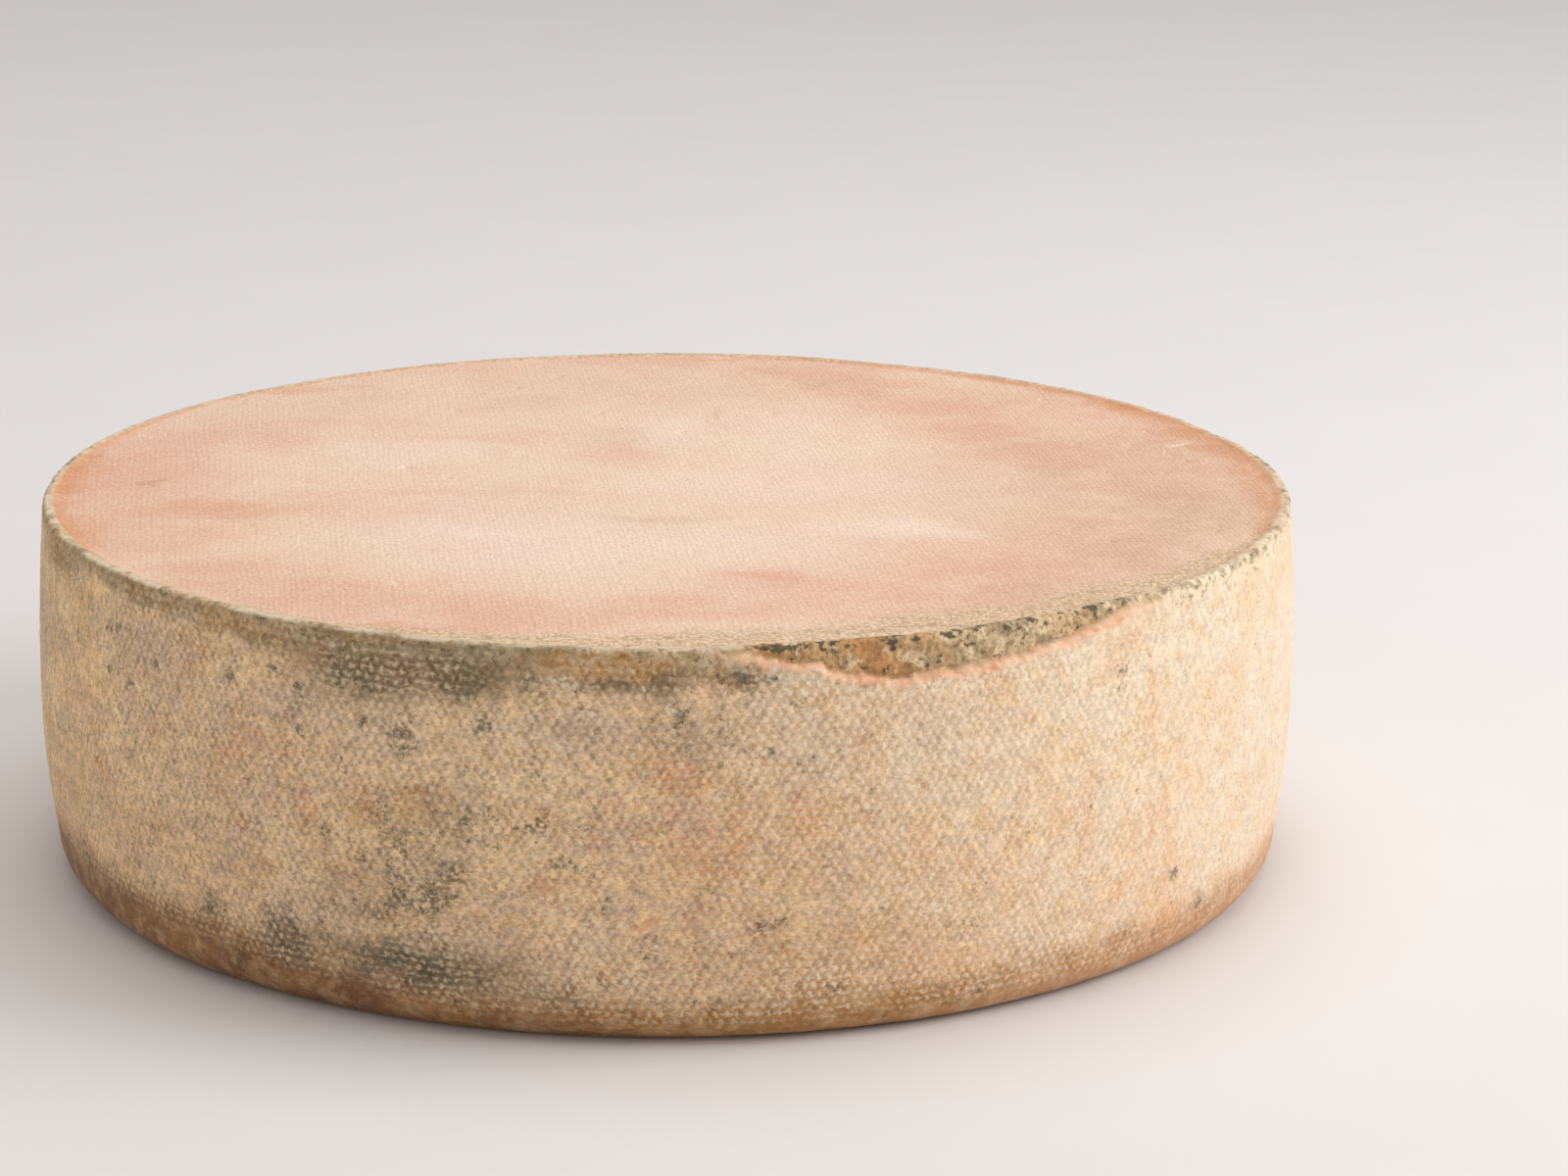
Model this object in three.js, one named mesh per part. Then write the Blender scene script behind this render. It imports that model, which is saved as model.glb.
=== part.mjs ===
// A ripened mountain cheese wheel, pressed in a cloth-lined hoop: one solid piece.
//
// Millimetres, +Z up. The origin is the centre of the flat lower face that the wheel rests on.
// -Y is the front, and azimuths are measured from the front towards +X. The rind of the upper edge
// is folded over and cracked on the front right, and the rest of the wheel is a body of revolution.

import * as THREE from "three";

const { degToRad, lerp } = THREE.MathUtils;

// The pressed form: a low drum with a slightly bulged side.
const WHEEL_HEIGHT = 88;
const GIRTH_RADIUS = 150;
const GIRTH_HEIGHT = 45;
const SHOULDER_RADIUS = 148;
const FOOT_RADIUS = 147;
const FOOT_FILLET = 8.5;
const RIM_ROUND = 1.2;

// The low ridge that the cloth's edge left around the top face.
const LIP_WIDTH = 3;
const LIP_RISE = 0.5;

// The fold in the rind of the upper edge. Its band is set back behind the side, and the crack is
// the step at the band's lower border.
const FOLD_START = degToRad(4);
const FOLD_END = degToRad(50);
const FOLD_SKEW = 0.9;
const FOLD_DEPTH = 9;
const FOLD_RECESS = 1.4;
const FOLD_LEAN = 0.8;
const BAND_MIN_HEIGHT = 2.5;
const CRACK_STEP_HEIGHT = 0.9;

// Fineness of the facets.
const AZIMUTH_STEPS = 96;
const FOOT_STEPS = 5;
const SIDE_STEPS = 8;
const RIM_STEPS = 3;

const RIND_COLOR = 0xd3ae84;
const RIND_ROUGHNESS = 0.85;

function sideRadius(height) {
  const above = height > GIRTH_HEIGHT;
  const endRadius = above ? SHOULDER_RADIUS : FOOT_RADIUS;
  const reach = above ? WHEEL_HEIGHT - GIRTH_HEIGHT : GIRTH_HEIGHT - FOOT_FILLET;
  const share = (height - GIRTH_HEIGHT) / reach;
  return GIRTH_RADIUS - (GIRTH_RADIUS - endRadius) * share * share;
}

// How far the fold is open at an azimuth: 0 outside it, 1 where its band is tallest.
function foldAt(azimuth) {
  const share = (azimuth - FOLD_START) / (FOLD_END - FOLD_START);
  return share > 0 && share < 1 ? Math.sin(Math.PI * share ** FOLD_SKEW) : 0;
}

function footPoints() {
  const points = [];
  for (let step = 0; step < FOOT_STEPS; step += 1) {
    const turn = (step / FOOT_STEPS) * (Math.PI / 2);
    const radius = FOOT_RADIUS - FOOT_FILLET * (1 - Math.sin(turn));
    const height = FOOT_FILLET * (1 - Math.cos(turn));
    points.push(new THREE.Vector2(radius, height));
  }
  return points;
}

function sidePoints(topHeight) {
  const points = [];
  for (let step = 0; step <= SIDE_STEPS; step += 1) {
    const height = lerp(FOOT_FILLET, topHeight, step / SIDE_STEPS);
    points.push(new THREE.Vector2(sideRadius(height), height));
  }
  return points;
}

function rimPoints(edgeRadius) {
  const points = [];
  for (let step = 0; step <= RIM_STEPS; step += 1) {
    const turn = (step / RIM_STEPS) * (Math.PI / 2);
    const radius = edgeRadius - RIM_ROUND * (1 - Math.cos(turn));
    const height = WHEEL_HEIGHT - RIM_ROUND * (1 - Math.sin(turn));
    points.push(new THREE.Vector2(radius, height));
  }
  return points;
}

// The outline from the border of the lower face up and over to the border of the top face, as
// (radius, height) points.
function outlineAt(azimuth) {
  const fold = foldAt(azimuth);
  const crackHeight = WHEEL_HEIGHT - BAND_MIN_HEIGHT - FOLD_DEPTH * fold;
  const crackRadius = sideRadius(crackHeight) - FOLD_RECESS * fold;
  const edgeRadius = SHOULDER_RADIUS - (FOLD_RECESS + FOLD_LEAN) * fold;
  const lipFoot = new THREE.Vector2(edgeRadius - LIP_WIDTH, WHEEL_HEIGHT - LIP_RISE);
  return [
    ...footPoints(),
    ...sidePoints(crackHeight - CRACK_STEP_HEIGHT),
    new THREE.Vector2(crackRadius, crackHeight),
    ...rimPoints(edgeRadius),
    lipFoot,
  ];
}

// Joins one outline per azimuth into a closed skin, with a flat fan over each end.
function wheelGeometry() {
  const positions = [];
  for (let column = 0; column < AZIMUTH_STEPS; column += 1) {
    const azimuth = (column / AZIMUTH_STEPS) * 2 * Math.PI;
    for (const point of outlineAt(azimuth)) {
      positions.push(point.x * Math.sin(azimuth), -point.x * Math.cos(azimuth), point.y);
    }
  }
  const rows = positions.length / 3 / AZIMUTH_STEPS;
  const lowerCentre = positions.length / 3;
  const upperCentre = lowerCentre + 1;
  positions.push(0, 0, 0);
  positions.push(0, 0, WHEEL_HEIGHT - LIP_RISE);

  const triangles = [];
  for (let column = 0; column < AZIMUTH_STEPS; column += 1) {
    const here = column * rows;
    const next = ((column + 1) % AZIMUTH_STEPS) * rows;
    triangles.push(lowerCentre, next, here);
    for (let row = 0; row < rows - 1; row += 1) {
      triangles.push(here + row, next + row, next + row + 1);
      triangles.push(here + row, next + row + 1, here + row + 1);
    }
    triangles.push(upperCentre, here + rows - 1, next + rows - 1);
  }

  const geometry = new THREE.BufferGeometry();
  geometry.setAttribute("position", new THREE.Float32BufferAttribute(positions, 3));
  geometry.setIndex(triangles);
  geometry.computeVertexNormals();
  return geometry;
}

const rind = new THREE.MeshStandardMaterial({
  color: RIND_COLOR,
  roughness: RIND_ROUGHNESS,
  metalness: 0,
});

const wheel = new THREE.Mesh(wheelGeometry(), rind);
wheel.name = "cheese_wheel";

const part = new THREE.Group();
part.add(wheel);

export default part;
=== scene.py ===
"""A ripened cheese wheel on a plain floor.

The rind is a fine mesh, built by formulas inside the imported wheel's box: the bulged side, the lip, the
fold with its crack, the pits, and the print of the cheese cloth. The same formulas leave masks on the
mesh, which the rind's nodes turn into colour, gloss and grain. Shapes are worked out in millimetres, in
the frame's own directions: +Z up, and azimuths in degrees from the front (-Y) towards +X.
"""

import math
from types import SimpleNamespace

import bpy
import numpy as np
from mathutils import Matrix, Vector


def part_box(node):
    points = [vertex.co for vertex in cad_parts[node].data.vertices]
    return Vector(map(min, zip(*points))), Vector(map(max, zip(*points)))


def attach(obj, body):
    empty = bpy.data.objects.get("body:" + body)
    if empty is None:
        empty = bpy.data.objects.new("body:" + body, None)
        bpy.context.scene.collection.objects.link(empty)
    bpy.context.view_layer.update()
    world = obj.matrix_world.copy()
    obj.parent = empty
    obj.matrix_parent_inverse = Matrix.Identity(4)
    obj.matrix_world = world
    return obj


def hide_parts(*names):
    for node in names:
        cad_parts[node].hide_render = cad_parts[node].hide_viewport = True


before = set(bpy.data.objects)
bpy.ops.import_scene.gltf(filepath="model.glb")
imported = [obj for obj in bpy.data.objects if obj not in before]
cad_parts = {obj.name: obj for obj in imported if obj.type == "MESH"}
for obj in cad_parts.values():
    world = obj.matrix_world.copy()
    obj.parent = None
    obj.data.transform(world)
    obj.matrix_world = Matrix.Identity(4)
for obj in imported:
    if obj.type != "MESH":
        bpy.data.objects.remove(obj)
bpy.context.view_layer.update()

MM = 0.001
WHEEL_NODE = "cheese_wheel"

# The pressed form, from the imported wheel's own box.
low_corner, high_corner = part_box(WHEEL_NODE)
GIRTH_RADIUS = (high_corner.x - low_corner.x) / 2 / MM
WHEEL_HEIGHT = high_corner.z / MM
GIRTH_HEIGHT = 0.51 * WHEEL_HEIGHT
SHOULDER_RADIUS = GIRTH_RADIUS - 2
FOOT_RADIUS = GIRTH_RADIUS - 3
FOOT_FILLET = 8.5
RIM_ROUND = 1.2
EDGE_RADIUS = SHOULDER_RADIUS - RIM_ROUND
LIP_WIDTH = 3.2
LIP_RISE = 0.6

# The fold in the rim: how far below the top its crack runs, as (azimuth, drop) along the crack.
CRACK_ROUTE = (
    (4.0, 0.6), (6.2, 1.4), (10.0, 3.0), (13.5, 4.9), (17.0, 7.2), (20.7, 9.4), (23.5, 8.0),
    (29.0, 7.6), (33.0, 6.4), (38.0, 5.2), (42.0, 3.0), (46.0, 1.6), (51.0, 0.6),
)
CRACK_STEP = 1.5
CRACK_LIP = 0.5
CRACK_GROOVE = 0.5
FOLD_LEAN = 0.9

# The print of the cloth: bumps in staggered rows.
CLOTH_PITCH = 2.3
CLOTH_ROW = 1.87
CLOTH_TURN_ON_TOP = math.radians(8)
THREAD_PITCH_ON_TOP = 2.6
SIDE_PRINT = 0.2
TOP_PRINT = 0.022

# The mesh: squares along half a side of the top face's grid, columns around the side, and the
# spacing of the rows up it.
GRID_HALF = 200
COLUMNS = 8 * GRID_HALF
ROW_SPACING = 0.6
BASE_RINGS = 26
INNERMOST_RING = 8
RIM_ROWS = 4

# Small pits in the side and the top face.
SIDE_PITS = 120
TOP_PITS = 50
PIT_WIDTHS = (0.6, 1.5)
PIT_DEPTHS = (0.25, 0.6)


# ---- Noise ----


def hashed(cell, seed):
    """A number from -1 to 1 for each row of whole numbers in cell."""
    x, y, z = (cell[:, axis].astype(np.int64).astype(np.uint32) for axis in range(3))
    mixed = x * np.uint32(374761393) + y * np.uint32(668265263) + z * np.uint32(2147483647)
    mixed = mixed + np.uint32(seed * 974634777 % 4294967296)
    mixed = (mixed ^ (mixed >> np.uint32(13))) * np.uint32(1274126177)
    mixed = mixed ^ (mixed >> np.uint32(16))
    return mixed.astype(np.float64) / 2147483647.5 - 1


def smooth_noise(points, size, seed):
    """Soft noise from -1 to 1, with lumps about as wide as size."""
    scaled = points / size
    cell = np.floor(scaled)
    share = scaled - cell
    share = share * share * (3 - 2 * share)
    total = np.zeros(len(points))
    for corner in np.ndindex(2, 2, 2):
        weight = np.prod(np.where(np.array(corner) == 1, share, 1 - share), axis=1)
        total += weight * hashed(cell + corner, seed)
    return total


def layered_noise(points, size, octaves, seed):
    """Noise with finer noise laid over it, from about -1 to 1."""
    total = np.zeros(len(points))
    for octave in range(octaves):
        total += smooth_noise(points, size / 2**octave, seed + octave) / 2**octave
    return total / 1.5


def step_up(value, start, end):
    """0 before start, 1 after end, and smooth between."""
    share = np.clip((value - start) / (end - start), 0, 1)
    return share * share * (3 - 2 * share)


def bell(value, centre, width):
    return np.exp(-(((value - centre) / width) ** 2))


def window(value, start, end, soft):
    """1 between start and end, falling to 0 over soft outside them."""
    return step_up(value, start - soft, start) * (1 - step_up(value, end, end + soft))


# ---- The wheel's form ----


def side_radius(height):
    above = height > GIRTH_HEIGHT
    end_radius = np.where(above, SHOULDER_RADIUS, FOOT_RADIUS)
    reach = np.where(above, WHEEL_HEIGHT - GIRTH_HEIGHT, GIRTH_HEIGHT - FOOT_FILLET)
    return GIRTH_RADIUS - (GIRTH_RADIUS - end_radius) * ((height - GIRTH_HEIGHT) / reach) ** 2


def outline():
    """(radius, height) rows from the middle of the base to the edge of the top face, and the row
    where the flat base ends."""
    base_radii = np.linspace(INNERMOST_RING, FOOT_RADIUS - FOOT_FILLET, BASE_RINGS)
    base = [(radius, 0.0) for radius in base_radii]
    foot_steps = round(FOOT_FILLET * math.pi / 2 / ROW_SPACING)
    foot = []
    for turn in np.linspace(0, math.pi / 2, foot_steps + 1)[1:]:
        radius = FOOT_RADIUS - FOOT_FILLET * (1 - math.sin(turn))
        foot.append((radius, FOOT_FILLET * (1 - math.cos(turn))))
    rim_start = WHEEL_HEIGHT - RIM_ROUND
    side_steps = round((rim_start - FOOT_FILLET) / ROW_SPACING)
    heights = np.linspace(FOOT_FILLET, rim_start, side_steps + 1)[1:]
    side = list(zip(side_radius(heights), heights))
    rim = []
    for turn in np.linspace(0, math.pi / 2, RIM_ROWS + 1)[1:]:
        radius = SHOULDER_RADIUS - RIM_ROUND * (1 - math.cos(turn))
        rim.append((radius, WHEEL_HEIGHT - RIM_ROUND * (1 - math.sin(turn))))
    return np.array(base + foot + side + rim), len(base) - 1


def wall_grid(rows):
    """The base and the side as a grid of vertices: one row for each point of the outline."""
    angle = np.arange(COLUMNS) * 2 * math.pi / COLUMNS
    tangent = np.gradient(rows, axis=0)
    tangent /= np.linalg.norm(tangent, axis=1)[:, None]
    return {
        "radius": np.repeat(rows[:, 0], COLUMNS),
        "height": np.repeat(rows[:, 1], COLUMNS),
        "angle": np.tile(angle, len(rows)),
        "outward": np.repeat(tangent[:, 1], COLUMNS),
        "upward": np.repeat(-tangent[:, 0], COLUMNS),
    }


def pressed_square():
    """Ring number and angle of each point of a square grid that is pressed into a disc."""
    steps = np.arange(-GRID_HALF, GRID_HALF + 1)
    across, along = (part.ravel() for part in np.meshgrid(steps, steps, indexing="ij"))
    ring = np.maximum(abs(across), abs(along))
    beside = abs(across) > abs(along)
    ratio = np.where(beside, along, across) / np.where(ring == 0, 1, np.where(beside, across, along))
    eighths = np.where(beside, ratio, 2 - ratio) + 4 * (np.where(beside, across, along) < 0)
    return ring, (eighths * math.pi / 4) % (2 * math.pi)


def blank_wheel():
    """The smooth wheel: its vertices, as columns of numbers, and its faces, as vertex numbers.

    The base and the side are one grid. The top face is a square grid pressed into a disc, whose
    border is the side grid's last row, and a fan closes the middle of the base."""
    rows, last_flat_row = outline()
    wall = wall_grid(rows)
    ring, angle = pressed_square()
    inner = ring < GRID_HALF
    border_column = np.rint(angle / (2 * math.pi) * COLUMNS).astype(int) % COLUMNS
    numbers = np.where(inner, 0, (len(rows) - 1) * COLUMNS + border_column)
    numbers[inner] = len(rows) * COLUMNS + np.arange(inner.sum())
    disc = {
        "radius": rows[-1, 0] * ring[inner] / GRID_HALF,
        "height": np.full(inner.sum(), WHEEL_HEIGHT),
        "angle": angle[inner],
        "outward": np.zeros(inner.sum()),
        "upward": np.ones(inner.sum()),
    }
    centre = {"radius": 0.0, "height": 0.0, "angle": 0.0, "outward": 0.0, "upward": -1.0}
    wheel = {name: np.concatenate([wall[name], disc[name], [centre[name]]]) for name in wall}
    wheel["on_top"] = np.arange(len(wheel["radius"])) >= len(wall["radius"])
    wheel["on_top"][-1] = False

    square = numbers.reshape(2 * GRID_HALF + 1, -1)
    corners = [square[:-1, :-1], square[1:, :-1], square[1:, 1:], square[:-1, 1:]]
    top_quads = np.stack(corners, axis=-1).reshape(-1, 4)
    row, column = (part.ravel() for part in np.mgrid[0 : len(rows) - 1, 0:COLUMNS])
    here = row * COLUMNS + column
    beside = row * COLUMNS + (column + 1) % COLUMNS
    wall_quads = np.stack([here, beside, beside + COLUMNS, here + COLUMNS], axis=-1)
    column = np.arange(COLUMNS)
    middle = np.full(COLUMNS, len(wheel["radius"]) - 1)
    base_fan = np.stack([middle, (column + 1) % COLUMNS, column], axis=-1)
    return wheel, wall_quads, top_quads, base_fan, last_flat_row


# ---- Marks placed one by one ----

# Around the side, as (azimuth, height, half width, half height, strength).
MOULD_SPOTS = (
    (-57.5, 42, 2.4, 1.6, 0.9), (-54.6, 74.5, 2.6, 1.8, 0.9), (-53.9, 65.5, 1.8, 2.2, 0.9),
    (-50.6, 63.8, 2, 1.4, 0.7), (-46.6, 69.8, 2, 1.6, 0.8), (-41.6, 18, 2.2, 1.8, 0.8),
    (-37.3, 73, 2, 1.4, 0.7), (-36.8, 35, 2.2, 2.6, 0.8), (-32.5, 77.2, 2.2, 1.6, 0.8),
    (-30.3, 65, 1.6, 1.4, 0.8), (-30, 74.2, 2.2, 2.4, 0.9), (-29, 70, 1.8, 1.4, 0.7),
    (-27.3, 43, 4.4, 3.2, 0.75), (-24.4, 67.2, 2, 3.8, 0.75), (-20.3, 65, 3.4, 3.2, 0.7),
    (-20.4, 43, 10, 6, 0.65), (-20.6, 31.2, 8, 5.5, 0.65), (-16.8, 36, 11, 7, 0.6),
    (-14, 78, 3, 3, 0.8), (-13.6, 71.5, 2.6, 3.4, 0.6), (-13.4, 47.8, 9, 8, 0.6),
    (-12.9, 51.5, 2, 2, 0.8), (-7.1, 41, 4, 2, 0.7), (-3.8, 33, 2, 2.2, 0.8), (2.5, 75, 3, 2.4, 0.8),
    (6.6, 21.2, 1.1, 1.3, 0.8), (7.4, 83.2, 2.2, 1.8, 0.8), (9.7, 67.2, 1.1, 1.3, 0.9),
    (9.8, 28.8, 3.6, 1.8, 0.8), (9.9, 81.5, 1.8, 1.8, 1.0), (13.4, 64.8, 1.1, 1.6, 0.9),
    (14.4, 23.5, 3.1, 0.9, 0.6), (14.8, 42, 2, 1.1, 0.85), (15.8, 11.8, 3.1, 1.6, 0.8),
    (18.2, 57, 1.8, 1, 0.9), (20.4, 45.5, 1.9, 1.8, 0.9), (25.2, 23, 1.9, 1.3, 0.8),
    (29, 8.2, 3.4, 1.1, 0.7), (30.2, 11.8, 2.8, 1.3, 0.5), (31.3, 49, 1.6, 1.6, 0.6),
    (34.5, 34.5, 1, 1.1, 0.8), (43, 74, 1.6, 1.4, 0.6), (48.8, 9, 3.4, 1.6, 0.6),
    (50.4, 22.2, 2.6, 2, 0.8), (55.9, 11.2, 2.4, 1.8, 0.8), (63.9, 67, 1.8, 1.4, 0.8),
    (-24, 36, 16, 14, 0.35), (-7, 46, 10, 9, 0.25), (-30, 22, 14, 6, 0.35), (112, 40, 3, 3, 0.8),
    (133, 61, 7, 4, 0.7), (151, 28, 9, 5, 0.75), (170, 70, 5, 4, 0.8), (-172, 38, 7, 5, 0.7),
    (-148, 55, 5, 6, 0.75), (-127, 30, 8, 4, 0.7), (-104, 60, 4, 4, 0.8),
)
# Soft olive and grey-green films under the dusty bumps.
FILM_SPOTS = (
    (-32, 15.5, 8, 5.5, 0.9), (-19.5, 15.5, 26, 6, 0.95), (-27, 18, 9, 4, 0.5),
    (-40.5, 20, 4, 3.4, 0.5), (-8, 12.5, 9, 4, 0.4), (-14.5, 81.5, 10, 6.5, 0.9),
    (-24, 79.5, 14, 7, 0.85), (-20, 86.4, 30, 1.8, 1.0), (-31, 84, 14, 3, 0.7),
    (-50, 85.5, 22, 2.2, 0.6), (-66, 84, 12, 3, 0.4), (1, 82, 4, 5, 0.75), (-3, 80, 8, 1.8, 0.8),
    (-10, 80, 4, 3, 0.6), (8, 81.5, 3, 2.4, 0.6), (3, 70, 9, 5, 0.25), (-24, 32, 14, 8, 0.25),
    (-17, 50, 9, 12, 0.2), (160, 12, 20, 4, 0.6), (-120, 14, 16, 4, 0.6),
)
OCHRE_AND_LOW_SIDE_SHADE_SPOTS = (
    (-3, 85, 16, 3.6, 1.0), (7, 84, 7, 4.5, 0.75), (-36, 85, 15, 3.4, 0.7), (-50, 86, 20, 2.6, 0.7),
    # The last mark on the next line, wide and low on the front-right, is painted shade: darker and
    # warmer towards the bottom of the side.
    (-68, 84, 12, 5, 0.8), (-24, 87, 14, 1.2, 0.5), (-20, 52, 14, 6, 0.3), (16, 20, 34, 8, 0.25),
    (12, 50, 34, 26, 0.12), (140, 84, 40, 3.5, 0.6), (-140, 84, 40, 3.5, 0.6),
)
ROSY_AND_LOW_SIDE_SHADE_SPOTS = (
    (-70, 70, 4, 5, 0.4), (-56, 40, 6, 5, 0.3), (-38, 52, 8, 6, 0.35), (-29.4, 48.6, 3.5, 4, 0.9),
    (-25, 37, 4, 4.5, 0.6), (-9, 37, 3.5, 2, 0.8), (-8.4, 52, 5, 2.2, 0.6), (0, 28, 1.3, 2.4, 1.0),
    (2, 60, 5, 3, 0.5), (3.6, 63, 6, 3.5, 0.4), (7, 48, 2.4, 14, 0.85), (12.8, 50, 4.5, 8, 0.5),
    (3, 42, 3, 3, 0.5), (9, 30, 8, 5, 0.4), (6, 40, 26, 16, 0.25), (30, 30, 26, 12, 0.2),
    # The last mark on the next line and the first mark on the line after it, wide and low on the
    # front-right, are painted shade, darker and warmer towards the bottom of the side.
    (22.8, 42, 4, 6, 0.7), (22.3, 17, 3.4, 3.6, 0.8), (24, 12, 6, 4, 0.5), (24, 20, 34, 9, 0.3),
    (46, 19, 26, 9, 0.35), (38.6, 38, 4, 7, 0.5), (46.3, 62, 0.9, 14, 0.9), (46.3, 34, 0.9, 12, 0.8),
    (48, 38, 4, 6, 0.5), (58, 66.7, 4, 3, 0.5), (50, 12, 14, 5, 0.7), (78, 10, 22, 6, 0.7),
    (-50, 30, 7, 4, 0.35), (-60, 20, 9, 5, 0.3), (120, 50, 12, 14, 0.4), (160, 58, 7, 18, 0.5),
    (-165, 22, 12, 5, 0.5), (-125, 64, 10, 6, 0.45),
)
# Mauve-grey dust, which the bumps hold most of. The two wide marks low on the front-right, at azimuths 8
# and 34, are painted shade: they darken the side towards the bottom there.
DUST_AND_LOW_SIDE_SHADE_SPOTS = (
    (-75, 66, 14, 14, 0.7), (-48, 74, 16, 7, 0.8), (-30, 70, 14, 6, 0.7), (-6, 71, 14, 5, 0.75),
    (-28, 25, 16, 6, 0.7), (-14, 22, 12, 7, 0.7), (14, 66, 12, 7, 0.4), (24, 70, 12, 6, 0.4),
    # The second and third marks on the next line are painted shade, greyer and darker towards the bottom
    # of the side.
    (30, 60, 14, 6, 0.3), (8, 20, 16, 7, 0.3), (34, 18, 12, 5, 0.3), (-50, 26, 10, 6, 0.6),
    (150, 66, 26, 10, 0.7), (-155, 30, 24, 12, 0.6), (-112, 58, 16, 12, 0.7), (74, 44, 40, 46, 0.5),
    (-40, 46, 22, 14, 0.35),
)
# Loose pale crumbs.
CRUMB_SPOTS = (
    (-6.8, 80.5, 3, 2, 1.0), (1.8, 76.3, 1.6, 1.4, 1.0), (9, 68, 1.4, 1.6, 0.8),
    (31.5, 81, 3, 1.2, 0.9), (36, 82.2, 7, 1.2, 1.0), (-24, 66, 1.2, 1.2, 0.7), (24, 27, 1.4, 2.2, 0.8),
    (-9, 12, 2, 2, 0.6),
)

# On the top face, as (x, y, half width, half depth, strength).
TOP_ROSY_SPOTS = (
    (34, 128, 24, 18, 0.6), (50, 108, 24, 20, 0.65), (66, 84, 22, 20, 0.7), (80, 58, 22, 20, 0.75),
    (94, 32, 22, 20, 0.65), (108, 8, 20, 20, 0.5), (110, 76, 40, 46, 0.4), (124, 20, 24, 40, 0.45),
    (-130, 12, 26, 50, 0.7), (-112, 44, 26, 20, 0.55), (-105, -30, 32, 18, 0.5),
    (-122, -56, 24, 28, 0.6), (-96, -88, 26, 20, 0.65), (-92, 62, 26, 5, 0.4), (-50, 46, 26, 6, 0.35),
    (-14, 26, 12, 14, 0.35), (-66, -14, 36, 5, 0.35), (-72, -106, 30, 18, 0.7),
    (-34, -118, 34, 16, 0.7), (8, -116, 34, 16, 0.6), (42, -98, 32, 18, 0.65), (72, -80, 28, 24, 0.7),
    (94, -50, 20, 28, 0.5), (60, -112, 40, 14, 0.55), (0, 138, 44, 9, 0.5), (-66, 128, 30, 9, 0.3),
    (24, -88, 12, 8, 0.8), (-35, -14, 22, 3.5, 0.3),
)
TOP_ORANGE_SPOTS = (
    (131, 62, 10, 28, 0.6), (114, 92, 12, 16, 0.5), (-139, -8, 8, 30, 0.5), (-108, -30, 30, 9, 0.4),
    (-132, -50, 8, 18, 0.6), (-60, -128, 26, 4, 0.5), (-100, 100, 16, 5, 0.4), (30, 143, 40, 3, 0.6),
)
TOP_DULL_SPOTS = (
    (-40, 86, 12, 8, 0.4), (-35, 106, 14, 6, 0.3), (14, 76, 3, 12, 0.4), (-4, -35, 16, 3, 0.4),
    (39, 110, 2.4, 3, 0.9), (122, -26, 22, 44, 0.85), (110, -66, 24, 24, 0.7), (88, -100, 26, 14, 0.6),
    (128, 40, 16, 30, 0.6), (-122, -2, 2, 3, 0.8), (96, 96, 30, 22, 0.35), (-100, 92, 34, 34, 0.3),
    (10, 112, 90, 26, 0.3), (-8, 44, 14, 12, 0.3), (108, 0, 46, 80, 0.5),
)
TOP_PALE_SPOTS = (
    (-20, -58, 46, 24, 0.6), (-42, -50, 18, 10, 0.8), (0, 50, 9, 22, 0.6), (52, -44, 24, 10, 0.7),
    (20, 0, 40, 14, 0.4), (128, 40, 1.4, 3, 0.9), (-60, 30, 28, 14, 0.4), (30, 40, 20, 40, 0.3),
)

# How the side and the rim change with azimuth, as (azimuth, value).
CREAM_SHARE = (
    (-180, 0.45), (-90, 0.12), (-50, 0.08), (0, 0.24), (25, 0.6), (45, 0.88), (70, 0.96), (120, 0.9),
    (180, 0.45),
)
PRINT_SHARE = (
    (-180, 0.6), (-70, 0.55), (-40, 0.8), (-20, 0.8), (-5, 0.8), (15, 0.65), (35, 0.45), (55, 0.28),
    (75, 0.15), (120, 0.4), (180, 0.6),
)
PRINT_FOOT = ((-180, 5), (-65, 12), (-40, 9), (-20, 5), (0, 2.5), (60, 3), (180, 5))
FOOT_TOP = (
    (-180, 15), (-70, 19), (-45, 19), (-30, 15), (-12, 13), (0, 11), (20, 13), (40, 14.5), (60, 14.5),
    (180, 13),
)
TAN_WIDTH = (
    (-180, 2.5), (-80, 1.0), (-50, 1.8), (-30, 5), (-15, 10), (0, 15), (12, 18), (25, 19), (40, 17),
    (60, 10), (72, 3), (82, 0.8), (110, 0.8), (180, 2.5),
)
ORANGE_WIDTH = (
    (-180, 2.5), (-110, 3.5), (-95, 7), (-75, 6), (-60, 2.5), (-45, 0.5), (60, 0.5), (72, 6), (85, 12),
    (100, 14), (120, 12), (140, 7), (180, 2.5),
)
RIM_FILM_DEPTH = (
    (-180, 5), (-140, 7), (-80, 4), (-60, 4), (-45, 5.5), (-35, 7.5), (-26, 10), (-15, 10.5), (-8, 8),
    (0, 9.5), (8, 9), (13, 4), (18, 0.5), (60, 0.5), (100, 3), (140, 6), (180, 5),
)
RIM_FILM_SHARE = (
    (-180, 0.7), (-80, 0.5), (-45, 0.5), (-30, 0.8), (-12, 0.85), (0, 0.75), (12, 0.6), (100, 0.5),
    (180, 0.7),
)
LIP_SHARE = (
    (-180, 0.3), (-90, 0.9), (-30, 0.9), (-12, 0.6), (6, 0.7), (9, 0.0), (50, 0.1), (60, 0.6),
    (95, 0.6), (180, 0.3),
)
RIM_ROUGHNESS = (
    (-180, 0.35), (-70, 0.3), (-15, 0.4), (4, 0.5), (12, 1.0), (46, 1.0), (60, 0.9), (76, 0.8),
    (95, 0.5), (180, 0.35),
)


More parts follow.
